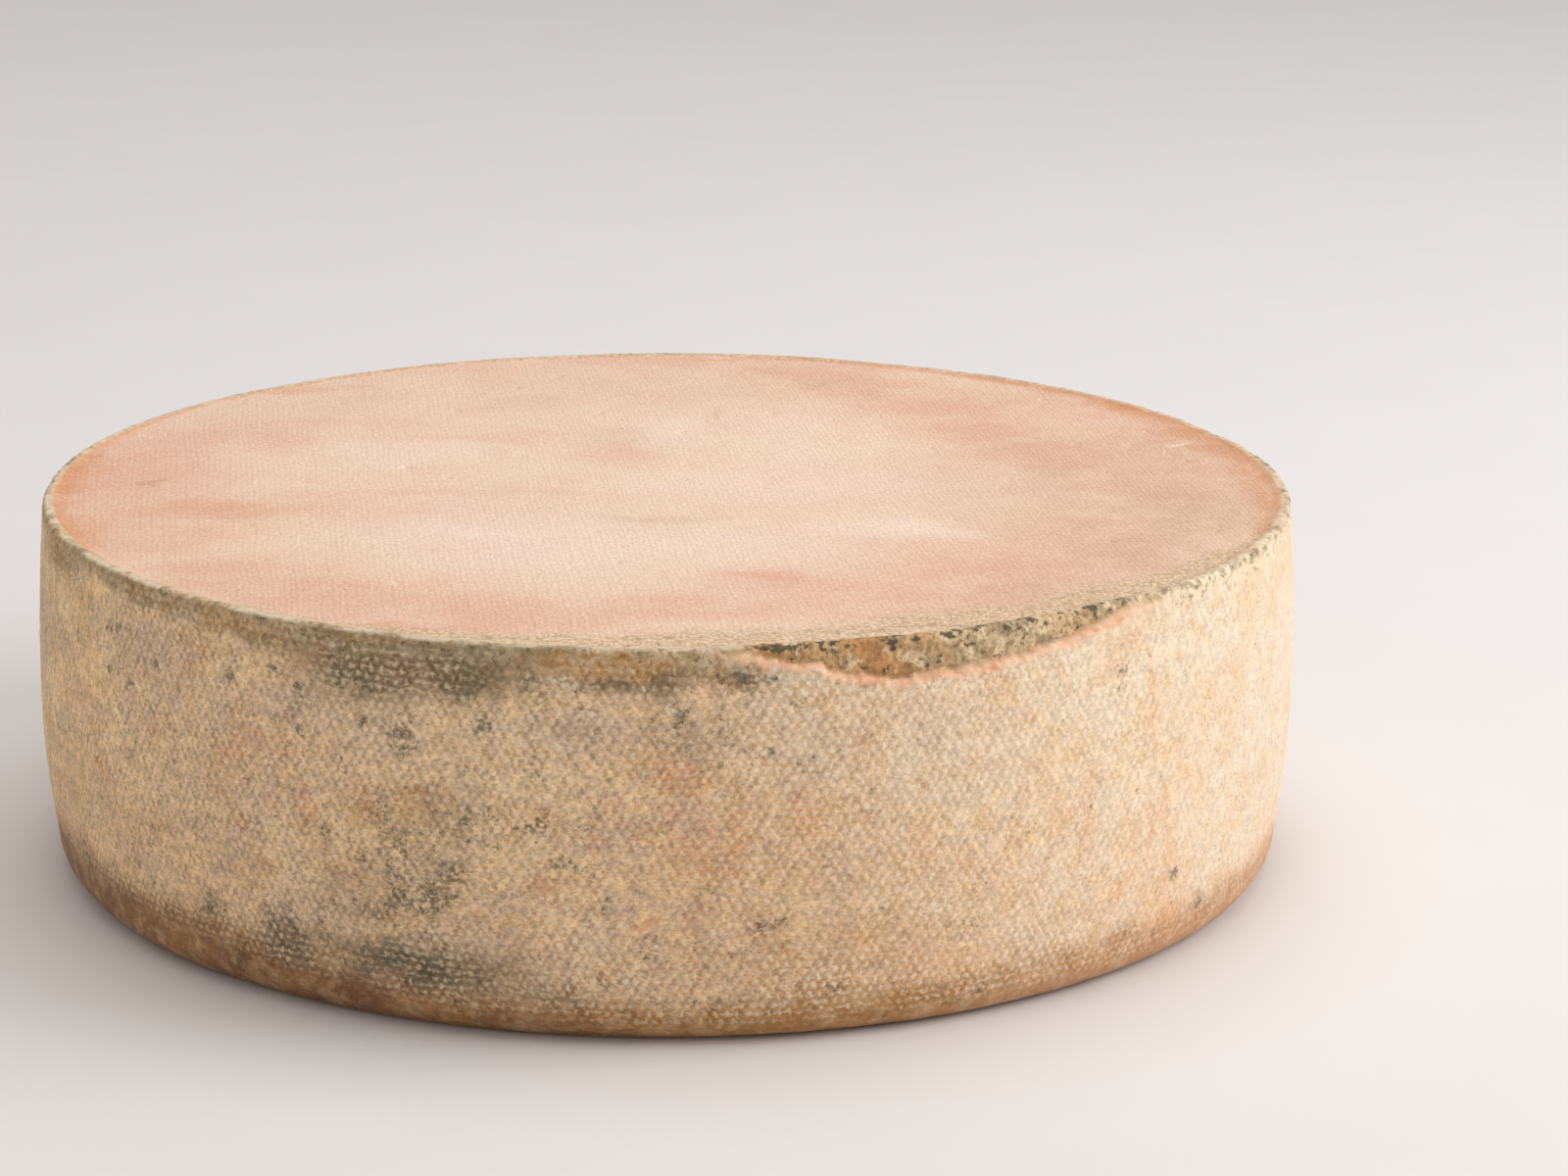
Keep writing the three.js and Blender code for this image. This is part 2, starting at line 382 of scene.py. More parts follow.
def marked(across, along, marks):
    """The strongest of the soft marks at each point. A mark is its centre, half sizes and strength."""
    total = np.zeros(len(across))
    for centre_across, centre_along, half_across, half_along, strength in marks:
        reach = ((across - centre_across) / half_across) ** 2
        reach += ((along - centre_along) / half_along) ** 2
        total = np.maximum(total, strength * np.exp(-(reach**1.5)))
    return total


def by_azimuth(rind, pairs):
    return np.interp(rind.azimuth, *zip(*pairs))


# ---- The rind's relief and masks ----


def smooth_surface(wheel):
    """What the relief and the masks are worked out from: each vertex's place on the smooth wheel, which
    way it faces, how far inside the top face's edge it lies, and noise from coarse to fine."""
    radius, angle, on_top = wheel["radius"], wheel["angle"], wheel["on_top"]
    on_base = wheel["upward"] < -0.9
    places = np.stack([radius * np.cos(angle), radius * np.sin(angle), wheel["height"]], axis=1)
    return SimpleNamespace(
        **wheel,
        azimuth=(np.degrees(angle) + 270) % 360 - 180,
        places=places,
        on_base=on_base,
        on_side=~on_top & ~on_base,
        inward=np.where(on_top, EDGE_RADIUS - radius, 0),
        broad=layered_noise(places, 60, 2, 1),
        patches=layered_noise(places, 16, 3, 11),
        ragged=layered_noise(places, 5, 3, 21),
        crumbs=layered_noise(places, 2.4, 2, 31),
        grit=smooth_noise(places, 1.2, 41),
    )


def open_fold(rind):
    """The fold in the rim: its band is set back behind the side, down to the crack."""
    route_drop = by_azimuth(rind, CRACK_ROUTE)
    rind.fold_share = step_up(route_drop, 0.7, 2.6)
    drop = route_drop + rind.fold_share * (1.1 * rind.ragged + 0.8 * rind.crumbs)
    drop = np.maximum(drop, 0.5)
    rind.crack_height = WHEEL_HEIGHT - drop
    on_band = step_up(rind.height, rind.crack_height - 0.3, rind.crack_height + 0.3)
    rind.band = rind.fold_share * np.where(rind.on_top, 1, on_band)
    up_band = np.clip((rind.height - rind.crack_height) / drop, 0, 1)
    near_edge = np.where(rind.on_top, (rind.radius / EDGE_RADIUS) ** 20, 1)
    rind.set_back = rind.band * (CRACK_STEP + FOLD_LEAN * up_band) * near_edge


def shape_edge(rind):
    """The lip around the top face, the roughness of the whole upper edge, and chips out of it."""
    lip_drop = rind.on_top * LIP_RISE * step_up(rind.inward, 0.6, LIP_WIDTH)
    rind.lip_drop = lip_drop * (0.85 + 0.15 * rind.patches)
    by_edge = np.where(rind.on_top, bell(rind.inward, 0, 2.5), step_up(rind.height, 81, 86))
    rough = by_azimuth(rind, RIM_ROUGHNESS) * by_edge
    rind.rough = np.maximum(rough, rind.band * np.where(rind.on_top, bell(rind.inward, 0, 4), 1))
    chips = np.maximum(smooth_noise(rind.places, 8, 51), 0)
    rind.chips = window(rind.azimuth, 84, 124, 8) * by_edge * chips


def cloth_place(rind):
    """Where each vertex lies on the cloth, counted in bumps along and rows up."""
    x, y = rind.places[:, 0], rind.places[:, 1]
    bumps_around = round(2 * math.pi * GIRTH_RADIUS / CLOTH_PITCH)
    cos, sin = math.cos(CLOTH_TURN_ON_TOP), math.sin(CLOTH_TURN_ON_TOP)
    flat_along = (x * cos + y * sin) / THREAD_PITCH_ON_TOP
    flat_up = (y * cos - x * sin) / CLOTH_ROW
    along = np.where(rind.on_side, rind.azimuth / 360 * bumps_around, flat_along)
    return along, np.where(rind.on_side, rind.height / CLOTH_ROW, flat_up)


def uneven_bumps(along, up):
    """The height of the print: up to 1 on the bumps, and a little below 0 in the gaps between them."""
    wave = np.cos(2 * math.pi * along) * np.cos(math.pi * up)
    row = np.rint(up)
    column = np.rint(along - 0.5 * (row % 2))
    size = 0.65 + 0.35 * hashed(np.stack([column, row, np.zeros(len(row))], axis=1), 5)
    return np.where(wave > 0, size * np.abs(wave) ** 1.3, 0.35 * wave)


def press_cloth(rind):
    """The print of the cloth, drawn a little out of line, and worn away in places."""
    jitter = np.where(rind.on_top, 0.1, 0.2)
    along, up = cloth_place(rind)
    along = along + 0.5 * layered_noise(rind.places, 24, 2, 61)
    up = up + 0.45 * layered_noise(rind.places, 30, 2, 71)
    rind.along = along + jitter * smooth_noise(rind.places, 3.2, 64)
    rind.up = up + jitter * smooth_noise(rind.places, 3.2, 74)
    columns = np.cos(2 * math.pi * rind.along) * (0.75 + 0.25 * np.cos(math.pi * rind.up))
    rind.bumps = np.where(rind.on_top, columns, uneven_bumps(rind.along, rind.up))

    worn = step_up(rind.patches + 0.6 * rind.broad, -0.9, 0.1)
    deeper = 1 + 0.7 * bell(rind.height, 11, 7) + 0.5 * bell(rind.height, 81, 4)
    print_foot = by_azimuth(rind, PRINT_FOOT)
    on_side = np.minimum(by_azimuth(rind, PRINT_SHARE) * deeper, 1)
    on_side = on_side * step_up(rind.height, print_foot, print_foot + 5)
    on_side = on_side * (1 - rind.band) * (1 - 0.7 * rind.rough) * (0.3 + 0.7 * worn)
    on_top = step_up(rind.inward, 1.5, 4) * (0.5 + 0.5 * worn)
    rind.print_share = np.where(rind.on_top, on_top, np.where(rind.on_base, 0.5, on_side))


def relief_of(rind):
    """How far the rind stands out from the smooth wheel."""
    relief = np.where(rind.on_top, 0.25 * rind.broad, 0.45 * rind.broad + 0.12 * rind.patches)
    relief = relief + rind.print_share * np.where(rind.on_top, TOP_PRINT, SIDE_PRINT) * rind.bumps
    relief = relief + rind.rough * (0.25 * rind.ragged + 0.45 * rind.crumbs + 0.2 * rind.grit)
    relief = relief + 0.05 * rind.grit * rind.on_side
    by_fold = rind.fold_share * rind.on_side
    crack_lip = by_fold * bell(rind.height, rind.crack_height - 1.0, 1.1)
    relief = relief + CRACK_LIP * crack_lip * (0.7 + 0.6 * rind.crumbs)
    relief = relief - CRACK_GROOVE * by_fold * bell(rind.height, rind.crack_height + 0.5, 0.6)
    relief = relief - 0.9 * rind.chips - dents(rind.places, rind.on_base)
    return np.where(rind.on_base, -0.1 * rind.print_share * (1 - rind.bumps), relief)


def side_masks(rind):
    """The masks of the marks and films on the side."""
    girth_place = np.radians(rind.azimuth) * GIRTH_RADIUS + 2.2 * rind.ragged
    mark_height = rind.height + 1.6 * layered_noise(rind.places, 7, 2, 81)

    def around(marks):
        in_mm = [(math.radians(at) * GIRTH_RADIUS, *others) for at, *others in marks]
        return marked(girth_place, mark_height, in_mm) * ~rind.on_top

    cream = by_azimuth(rind, CREAM_SHARE) + 0.18 * rind.patches + 0.15 * rind.broad
    foot_top = by_azimuth(rind, FOOT_TOP) + 2.2 * rind.patches + 1.2 * rind.ragged
    foot = 1 - step_up(mark_height, foot_top - 7, foot_top + 3)
    film_depth = by_azimuth(rind, RIM_FILM_DEPTH)
    film_depth = film_depth * (1 + 0.3 * rind.patches + 0.25 * rind.ragged)
    below_top = WHEEL_HEIGHT - rind.final_height
    rim_film = ~rind.on_top * (1 - step_up(below_top, 0.3 * film_depth, 1.35 * film_depth))
    rim_film = rim_film * by_azimuth(rind, RIM_FILM_SHARE) * (1 - rind.band)
    below_crack = rind.crack_height - rind.final_height
    under_crack = 0.7 * rind.fold_share * rind.on_side * window(below_crack, 1.2, 3.0, 1.4)
    return {
        "cream": np.clip(cream, 0, 1),
        "mould": around(MOULD_SPOTS),
        "film": around(FILM_SPOTS),
        "rim_film": rim_film,
        # The ochre, rosy and dust marks also hold painted shade low on the front-right of the side.
        "ochre_and_low_shade": around(OCHRE_AND_LOW_SIDE_SHADE_SPOTS),
        "side_rosy_and_low_shade": around(ROSY_AND_LOW_SIDE_SHADE_SPOTS),
        "dust_and_low_shade": around(DUST_AND_LOW_SIDE_SHADE_SPOTS),
        "foot": np.where(rind.on_top, 0, foot),
        "crumbs": np.maximum(under_crack, around(CRUMB_SPOTS)),
    }


def top_masks(rind):
    """The masks of the marks on the top face, and of the tan and orange borders around it."""
    x = rind.places[:, 0] + 9 * rind.patches + 3 * rind.ragged
    y = rind.places[:, 1] + 9 * layered_noise(rind.places, 18, 4, 91)

    def over_top(marks):
        return marked(x, y, marks) * rind.on_top

    tan_width = by_azimuth(rind, TAN_WIDTH) * (1 + 0.25 * rind.patches + 0.2 * rind.ragged)
    orange_width = by_azimuth(rind, ORANGE_WIDTH) * (1 + 0.3 * rind.patches)
    tan = 1 - step_up(rind.inward, 0.6 * tan_width, 1.15 * tan_width)
    orange_rim = 1 - step_up(rind.inward, 0.3 * orange_width, orange_width)
    return {
        "top_rosy": over_top(TOP_ROSY_SPOTS),
        "orange": over_top(TOP_ORANGE_SPOTS),
        "dull": over_top(TOP_DULL_SPOTS),
        "pale": over_top(TOP_PALE_SPOTS),
        "tan": rind.on_top * tan,
        "orange_rim": rind.on_top * orange_rim,
    }


def edge_masks(rind):
    """The masks of the fold's band, its crack, and the lip and the edge around the top face."""
    height, not_base = rind.final_height, ~rind.on_base
    band_on_top = bell(rind.inward, 0, 2.0 + rind.crumbs)
    crack_width = 0.8 + 0.5 * rind.ragged + 0.25 * rind.crumbs
    crack = rind.fold_share * rind.on_side * bell(height, rind.crack_height - 0.3, crack_width)
    lip = np.where(rind.on_top, bell(rind.inward, 0.2, 0.55), step_up(height, 87.5, 87.8))
    edge = np.where(rind.on_top, bell(rind.inward, 0, 0.9), step_up(height, 85.8, 87.2))
    return {
        "band": rind.band * np.where(rind.on_top, band_on_top, 1),
        "crack": crack,
        "lip": lip * not_base * by_azimuth(rind, LIP_SHARE),
        "edge": edge * not_base,
        "rough": rind.rough,
    }


def sculpt(wheel):
    """Gives the smooth wheel its relief. Returns the vertices' places, the masks for the nodes, and
    each vertex's place on the cloth with the share of the print there."""
    rind = smooth_surface(wheel)
    open_fold(rind)
    shape_edge(rind)
    press_cloth(rind)
    relief = relief_of(rind)
    radius = np.maximum(rind.radius - rind.set_back + relief * rind.outward, 0)
    height = np.clip(rind.height - rind.lip_drop + relief * rind.upward, 0, WHEEL_HEIGHT)
    places = np.stack([radius * np.cos(rind.angle), radius * np.sin(rind.angle), height], axis=1)

    rind.final_height = height
    masks = {"top": rind.on_top * step_up(rind.inward, 0.2, 1.2), "base": rind.on_base * 1.0}
    masks.update(side_masks(rind))
    masks.update(top_masks(rind))
    masks.update(edge_masks(rind))
    masks["rosy_and_low_shade"] = np.maximum(masks.pop("side_rosy_and_low_shade"), masks.pop("top_rosy"))
    cloth = np.stack([rind.along, rind.up, rind.print_share], axis=1)
    return places, masks, cloth


def dents(points, on_base):
    """The depth of small pits, scattered over the side and the top face."""
    pick = np.random.default_rng(7)
    depth = np.zeros(len(points))
    for number in range(SIDE_PITS + TOP_PITS):
        turn = pick.uniform(0, 2 * math.pi)
        if number < SIDE_PITS:
            level = pick.uniform(4, WHEEL_HEIGHT - 4)
            centre = np.array([GIRTH_RADIUS * math.cos(turn), GIRTH_RADIUS * math.sin(turn), level])
        else:
            reach = (SHOULDER_RADIUS - 6) * math.sqrt(pick.uniform(0, 1))
            centre = np.array([reach * math.cos(turn), reach * math.sin(turn), WHEEL_HEIGHT])
        width = pick.uniform(*PIT_WIDTHS)
        away = np.abs(points - centre)
        near = np.flatnonzero((away.max(axis=1) < 4 * width) & ~on_base)
        distance = np.linalg.norm(points[near] - centre, axis=1)
        depth[near] += pick.uniform(*PIT_DEPTHS) * np.exp(-((distance / width) ** 2))
    return depth


# ---- The mesh ----

# The bake's map, in millimetres on a square sheet: the top face, half of the side in each of two
# strips below it, and the base beside it at a smaller scale.
SHEET_SIDE = 506
SHEET_GAP = 3
BASE_SCALE = 0.53


def sheet_places(wheel, wall_quads, top_quads, base_fan, last_flat_row):
    """Each face corner's place on the bake's map, from 0 to 1."""
    flat = np.stack([np.cos(wheel["angle"]), np.sin(wheel["angle"])], axis=1) * wheel["radius"][:, None]
    top_centre = np.array([GIRTH_RADIUS + SHEET_GAP, SHEET_SIDE - GIRTH_RADIUS - SHEET_GAP])
    base_reach = GIRTH_RADIUS * BASE_SCALE
    base_centre = np.array([SHEET_SIDE - base_reach - SHEET_GAP, SHEET_SIDE - base_reach - SHEET_GAP])
    top_uv = top_centre + flat[top_quads]
    base_uv = base_centre + flat[base_fan] * (-BASE_SCALE, BASE_SCALE)

    rows, _ = outline()
    steps = np.linalg.norm(np.diff(rows[last_flat_row:], axis=0), axis=1)
    up_side = np.concatenate([np.zeros(last_flat_row), [0], np.cumsum(steps)])
    quad_row, quad_column = np.divmod(wall_quads[:, 0], COLUMNS)
    half = COLUMNS // 2
    strip = quad_column // half
    corner_column = (quad_column % half)[:, None] + np.array([0, 1, 1, 0])
    corner_row = quad_row[:, None] + np.array([0, 0, 1, 1])
    along = corner_column / half * (SHEET_SIDE - 2 * SHEET_GAP) + SHEET_GAP
    strip_foot = SHEET_GAP + strip[:, None] * (up_side[-1] + SHEET_GAP)
    side_uv = np.stack([along, up_side[corner_row] + strip_foot], axis=-1)
    flat_uv = base_centre + flat[wall_quads] * (-BASE_SCALE, BASE_SCALE)
    is_flat = (quad_row < last_flat_row)[:, None, None]
    wall_uv = np.where(is_flat, flat_uv, side_uv)
    parts = [part.reshape(-1, 2) for part in (wall_uv, top_uv, base_uv)]
    return np.concatenate(parts) / SHEET_SIDE


def wheel_mesh():
    wheel, wall_quads, top_quads, base_fan, last_flat_row = blank_wheel()
    places, masks, cloth = sculpt(wheel)
    faces = [wall_quads, top_quads, base_fan]
    corners = np.concatenate([part.ravel() for part in faces]).astype(np.int32)
    sizes = np.concatenate([np.full(len(part), part.shape[1]) for part in faces])
    starts = np.concatenate([[0], np.cumsum(sizes)[:-1]]).astype(np.int32)

    mesh = bpy.data.meshes.new("wheel_with_rind")
    mesh.vertices.add(len(places))
    mesh.vertices.foreach_set("co", (places * MM).astype(np.float32).ravel())
    mesh.loops.add(len(corners))
    mesh.loops.foreach_set("vertex_index", corners)
    mesh.polygons.add(len(starts))
    mesh.polygons.foreach_set("loop_start", starts)
    mesh.update(calc_edges=True)
    mesh.polygons.foreach_set("use_smooth", np.ones(len(starts), bool))

    for name, values in masks.items():
        attribute = mesh.attributes.new(name, "FLOAT", "POINT")
        attribute.data.foreach_set("value", values.astype(np.float32))
    attribute = mesh.attributes.new("cloth", "FLOAT_VECTOR", "POINT")
    attribute.data.foreach_set("vector", cloth.astype(np.float32).ravel())
    places_on_map = sheet_places(wheel, wall_quads, top_quads, base_fan, last_flat_row)
    mesh.uv_layers.new(name="OFBake").uv.foreach_set("vector", places_on_map.astype(np.float32).ravel())
    mesh.validate()
    return mesh


# ---- Shader nodes ----


def linear(code):
    """An sRGB colour code such as "#C4A27A" as linear red, green, blue and alpha."""
    shares = [int(code[start : start + 2], 16) / 255 for start in (1, 3, 5)]
    steps = [s / 12.92 if s <= 0.04045 else ((s + 0.055) / 1.055) ** 2.4 for s in shares]
    return (*steps, 1.0)


class Nodes:
    """The node tree of a new material. An input is a number, a colour code or another node's socket."""

    def __init__(self, name):
        self.material = bpy.data.materials.new(name)
        self.material.use_nodes = True
        self.tree = self.material.node_tree
        self.tree.nodes.clear()

    def add(self, kind, inputs, **settings):
        node = self.tree.nodes.new(kind)
        for key, value in settings.items():
            setattr(node, key, value)
        for key, value in inputs.items():
            if isinstance(value, bpy.types.NodeSocket):
                self.tree.links.new(value, node.inputs[key])
            else:
                node.inputs[key].default_value = linear(value) if isinstance(value, str) else value
        return node

    def math(self, operation, *values):
        return self.add("ShaderNodeMath", dict(enumerate(values)), operation=operation).outputs[0]

    def times(self, *values):
        product = values[0]
        for value in values[1:]:
            product = self.math("MULTIPLY", product, value)
        return product

    def mask(self, name):
        return self.add("ShaderNodeAttribute", {}, attribute_name=name).outputs["Fac"]

    def mix(self, share, first, second):
        inputs = {0: share, 6: first, 7: second}
        return self.add("ShaderNodeMix", inputs, data_type="RGBA", clamp_factor=True).outputs[2]

    def shade(self, colour, factor):
        inputs = {0: 1.0, 6: colour, 7: factor}
        settings = {"data_type": "RGBA", "blend_type": "MULTIPLY"}
        return self.add("ShaderNodeMix", inputs, **settings).outputs[2]

    def step(self, value, start, end, low=0.0, high=1.0):
        inputs = {"Value": value, "From Min": start, "From Max": end, "To Min": low, "To Max": high}
        return self.add("ShaderNodeMapRange", inputs, interpolation_type="SMOOTHSTEP").outputs[0]

    def rest(self, share):
        """What a share leaves of 1."""
        return self.math("SUBTRACT", 1.0, share)

    def noise(self, size_mm, detail=2.0, roughness=0.5, flatness=1.0):
        """Noise whose grains are size_mm wide, and flatness times less high."""
        place = self.add("ShaderNodeTexCoord", {}).outputs["Object"]
        stretch = {0: place, 1: (1.0, 1.0, flatness)}
        place = self.add("ShaderNodeVectorMath", stretch, operation="MULTIPLY").outputs[0]
        inputs = {"Vector": place, "Scale": 1 / (size_mm * MM), "Detail": detail, "Roughness": roughness}
        return self.add("ShaderNodeTexNoise", inputs).outputs[0]

    def finish(self, colour, roughness, normal, **constants):
        inputs = {"Base Color": colour, "Roughness": roughness, **constants}
        if normal is not None:
            inputs["Normal"] = normal
        shader = self.add("ShaderNodeBsdfPrincipled", inputs)
        self.add("ShaderNodeOutputMaterial", {"Surface": shader.outputs[0]})
        return self.material


def cloth_print(nodes):
    """The cloth's print: its bumps from -1 to 1, how pale each bump's tip is, the gaps between the
    bumps, the rows and the columns of its threads, and the share of the print that is left."""
    place = nodes.add("ShaderNodeAttribute", {}, attribute_name="cloth").outputs["Vector"]
    along, up, share = nodes.add("ShaderNodeSeparateXYZ", {0: place}).outputs
    along = nodes.math("ADD", along, nodes.step(nodes.noise(1.3), 0.2, 0.8, -0.2, 0.2))
    up = nodes.math("ADD", up, nodes.step(nodes.noise(1.7), 0.2, 0.8, -0.25, 0.25))
    bumps = nodes.times(wave(nodes, along, 2.0), wave(nodes, up, 1.0))
    rows = wave(nodes, up, 2.0)
    return SimpleNamespace(
        bumps=bumps,
        tips=nodes.times(nodes.step(bumps, 0.1, 0.85), tip_paleness(nodes, along, up)),
        gaps=nodes.step(bumps, 0.25, -0.6),
        rows=nodes.step(rows, -0.4, 0.8),
        columns=nodes.times(wave(nodes, along, 4.0), nodes.step(rows, -1.0, 1.0, 0.5, 1.0)),
        share=share,
    )


def wave(nodes, place, half_turns):
    return nodes.math("COSINE", nodes.times(place, half_turns * math.pi))


def tip_paleness(nodes, along, up):
    """A number from 0.3 to 1 for each bump."""
    row = nodes.math("ROUND", up)
    shift = nodes.times(nodes.math("FLOORED_MODULO", row, 2.0), 0.5)
    column = nodes.math("ROUND", nodes.math("SUBTRACT", along, shift))
    cell = nodes.add("ShaderNodeCombineXYZ", {0: column, 1: row}).outputs[0]
    chance = nodes.add("ShaderNodeTexWhiteNoise", {"Vector": cell}, noise_dimensions="2D")
    return nodes.step(chance.outputs["Value"], 0.0, 1.0, 0.3, 1.0)


def side_ground(nodes):
    """Tan on the left, cream on the right, with clouds of ochre, salmon and mauve-grey dust, and painted
    shade low on the front-right of the side.
    """
    cream, broad = nodes.mask("cream"), nodes.step(nodes.noise(26.0, 3.0), 0.38, 0.62)
    tan = nodes.mix(broad, "#F7D29D", "#EFC999")
    light = nodes.mix(broad, "#E8D7C0", "#EBD0B2")
    colour = nodes.mix(cream, tan, light)
    ochre_clouds = nodes.step(nodes.noise(9.0, 4.0, 0.65), 0.5, 0.66, 0.0, 0.6)
    ochre_clouds = nodes.times(ochre_clouds, nodes.step(cream, 0.0, 1.0, 1.0, 0.35))
    colour = nodes.mix(ochre_clouds, colour, "#D2A468")
    gold_clouds = nodes.step(nodes.noise(5.0, 4.0, 0.7), 0.49, 0.63, 0.0, 0.45)
    gold_clouds = nodes.times(gold_clouds, nodes.step(cream, 0.05, 0.4, 0.2, 1.0))
    colour = nodes.mix(gold_clouds, colour, "#E4B97A")
    salmon_clouds = nodes.step(nodes.noise(13.0, 4.0, 0.65), 0.54, 0.68, 0.0, 0.5)
    salmon_clouds = nodes.times(salmon_clouds, nodes.step(cream, 0.4, 1.0, 1.0, 0.4))
    colour = nodes.mix(salmon_clouds, colour, "#E2A47E")
    loose_dust = nodes.step(nodes.noise(11.0, 4.0, 0.7), 0.47, 0.62, 0.0, 0.6)
    loose_dust = nodes.times(loose_dust, nodes.step(cream, 0.0, 1.0, 1.0, 0.35))
    # The dust mask also paints shade low on the front-right of the side, greyer and darker towards the
    # bottom.
    dust_and_low_shade = nodes.times(nodes.math("MAXIMUM", loose_dust, nodes.mask("dust_and_low_shade")), 0.72)
    colour = nodes.mix(dust_and_low_shade, colour, nodes.mix(cream, "#C9AE9A", "#DAC6B2"))
    powder = nodes.step(nodes.noise(3.2, 4.0, 0.7, 1.4), 0.48, 0.62, 0.0, 0.52)
    powder = nodes.times(powder, nodes.step(cream, 0.0, 1.0, 1.0, 0.2))
    return nodes.mix(powder, colour, "#BDA798")


def side_stains(nodes, colour):
    """The placed stains: rosy spots, the ochre under the rim, the brown foot and the green film, with
    painted shade low on the front-right of the side.
    """
    fine, clusters = nodes.noise(1.5, 3.0, 0.6), nodes.noise(5.0, 4.0, 0.65)
    # The rosy mask also holds painted shade, darker and warmer low on the front-right of the side.
    rosy_and_low_shade = nodes.times(nodes.mask("rosy_and_low_shade"), nodes.step(fine, 0.3, 0.65, 0.3, 1.0), 0.74)
    colour = nodes.mix(rosy_and_low_shade, colour, "#E29F70")
    # The ochre mask also holds painted shade, darker and warmer low on the front-right of the side.
    ochre_and_low_shade = nodes.times(nodes.mask("ochre_and_low_shade"), nodes.step(clusters, 0.35, 0.6, 0.55, 1.0))
    ochre_tone = nodes.mix(nodes.step(fine, 0.4, 0.6), "#A8793A", "#C09252")
    colour = nodes.mix(ochre_and_low_shade, colour, ochre_tone)
    cream = nodes.mask("cream")
    foot_tone = nodes.mix(nodes.step(cream, 0.0, 0.3), "#83593A", "#AB7D48")
    foot_tone = nodes.mix(nodes.step(cream, 0.45, 0.9), foot_tone, "#BE8E64")
    foot = nodes.times(nodes.mask("foot"), nodes.step(clusters, 0.34, 0.6, 0.7, 1.0))
    colour = nodes.mix(foot, colour, foot_tone)
    film_tone = nodes.mix(nodes.step(clusters, 0.42, 0.58), "#62503B", "#62614C")
    film_cover = nodes.step(clusters, 0.35, 0.6, 0.75, 1.0)
    colour = nodes.mix(nodes.times(nodes.mask("film"), film_cover), colour, film_tone)
    olive = nodes.step(nodes.noise(6.0, 4.0), 0.42, 0.58)
    rim_tone = nodes.mix(olive, "#7F6349", "#82734C")
    rim_tone = nodes.mix(nodes.mask("ochre_and_low_shade"), rim_tone, "#BE8644")
    rim_cover = nodes.step(clusters, 0.3, 0.6, 0.7, 1.1)
    return nodes.mix(nodes.times(nodes.mask("rim_film"), rim_cover), colour, rim_tone)


def side_mould(nodes):
    """The share of grey-green mould: specks in loose clusters, thickest on its marks."""
    growth = nodes.times(nodes.noise(1.3, 5.0, 0.78, 1.2), 0.6)
    growth = nodes.math("ADD", growth, nodes.times(nodes.noise(8.0, 4.0, 0.65), 0.42))
    growth = nodes.math("ADD", growth, nodes.times(nodes.mask("mould"), 0.125))
    growth = nodes.math("ADD", growth, nodes.times(nodes.mask("rim_film"), 0.02))
    growth = nodes.math("SUBTRACT", growth, nodes.times(nodes.mask("cream"), 0.035))
    return nodes.step(growth, 0.548, 0.665, 0.0, 0.85)


def cloth_shading(nodes, print_marks, colour):
    """Darkens the gaps of the print, pales its threads, and lays a fine grain over both."""
    cream, share = nodes.mask("cream"), print_marks.share
    deep = nodes.step(nodes.noise(2.6, 3.0, 0.6), 0.35, 0.65, 0.15, 0.65)
    gaps = nodes.times(print_marks.gaps, share, deep)
    colour = nodes.mix(gaps, colour, nodes.shade(colour, "#B39270"))
    broken = nodes.step(nodes.noise(1.8, 3.0, 0.6, 1.5), 0.42, 0.58)
    threads = nodes.times(print_marks.rows, broken, share, 0.5)
    colour = nodes.mix(threads, colour, nodes.mix(cream, "#DEC4A2", "#F4E4CC"))
    grainy = nodes.shade(colour, nodes.step(nodes.noise(1.1, 4.0, 0.75, 1.8), 0.36, 0.62, 0.8, 1.17))
    grainy = nodes.shade(grainy, nodes.step(nodes.noise(2.2, 3.0, 0.6), 0.35, 0.65, 0.85, 1.12))
    return nodes.mix(nodes.step(cream, 0.0, 0.9, 1.0, 0.6), colour, grainy)


def side_colour(nodes, print_marks):
    """The side's ground, stains and print, with mould over them and pale tips on the print's bumps."""
    colour = cloth_shading(nodes, print_marks, side_stains(nodes, side_ground(nodes)))
    mould = side_mould(nodes)
    mould_tone = nodes.step(nodes.noise(3.0, 3.0), 0.42, 0.58)
    colour = nodes.mix(mould, colour, nodes.mix(mould_tone, "#544F3C", "#6B6858"))

    stained = nodes.math("MAXIMUM", nodes.mask("foot"), nodes.mask("film"))
    stained = nodes.math("MAXIMUM", stained, nodes.mask("rim_film"))
    worn = nodes.step(nodes.noise(6.0, 3.0, 0.6), 0.35, 0.6, 0.5, 1.0)
    tips = nodes.times(print_marks.tips, print_marks.share, worn)
    tips = nodes.times(tips, nodes.step(stained, 0.0, 0.8, 0.88, 0.85))
    tips = nodes.times(tips, nodes.step(mould, 0.2, 0.9, 1.0, 0.5))
    cream = nodes.mask("cream")
    tip_tone = nodes.mix(cream, "#EDD6B4", "#F8EAD2")
    tip_tone = nodes.mix(stained, tip_tone, nodes.mix(cream, "#D8BF98", "#E6C49C"))
    return nodes.mix(tips, colour, tip_tone)


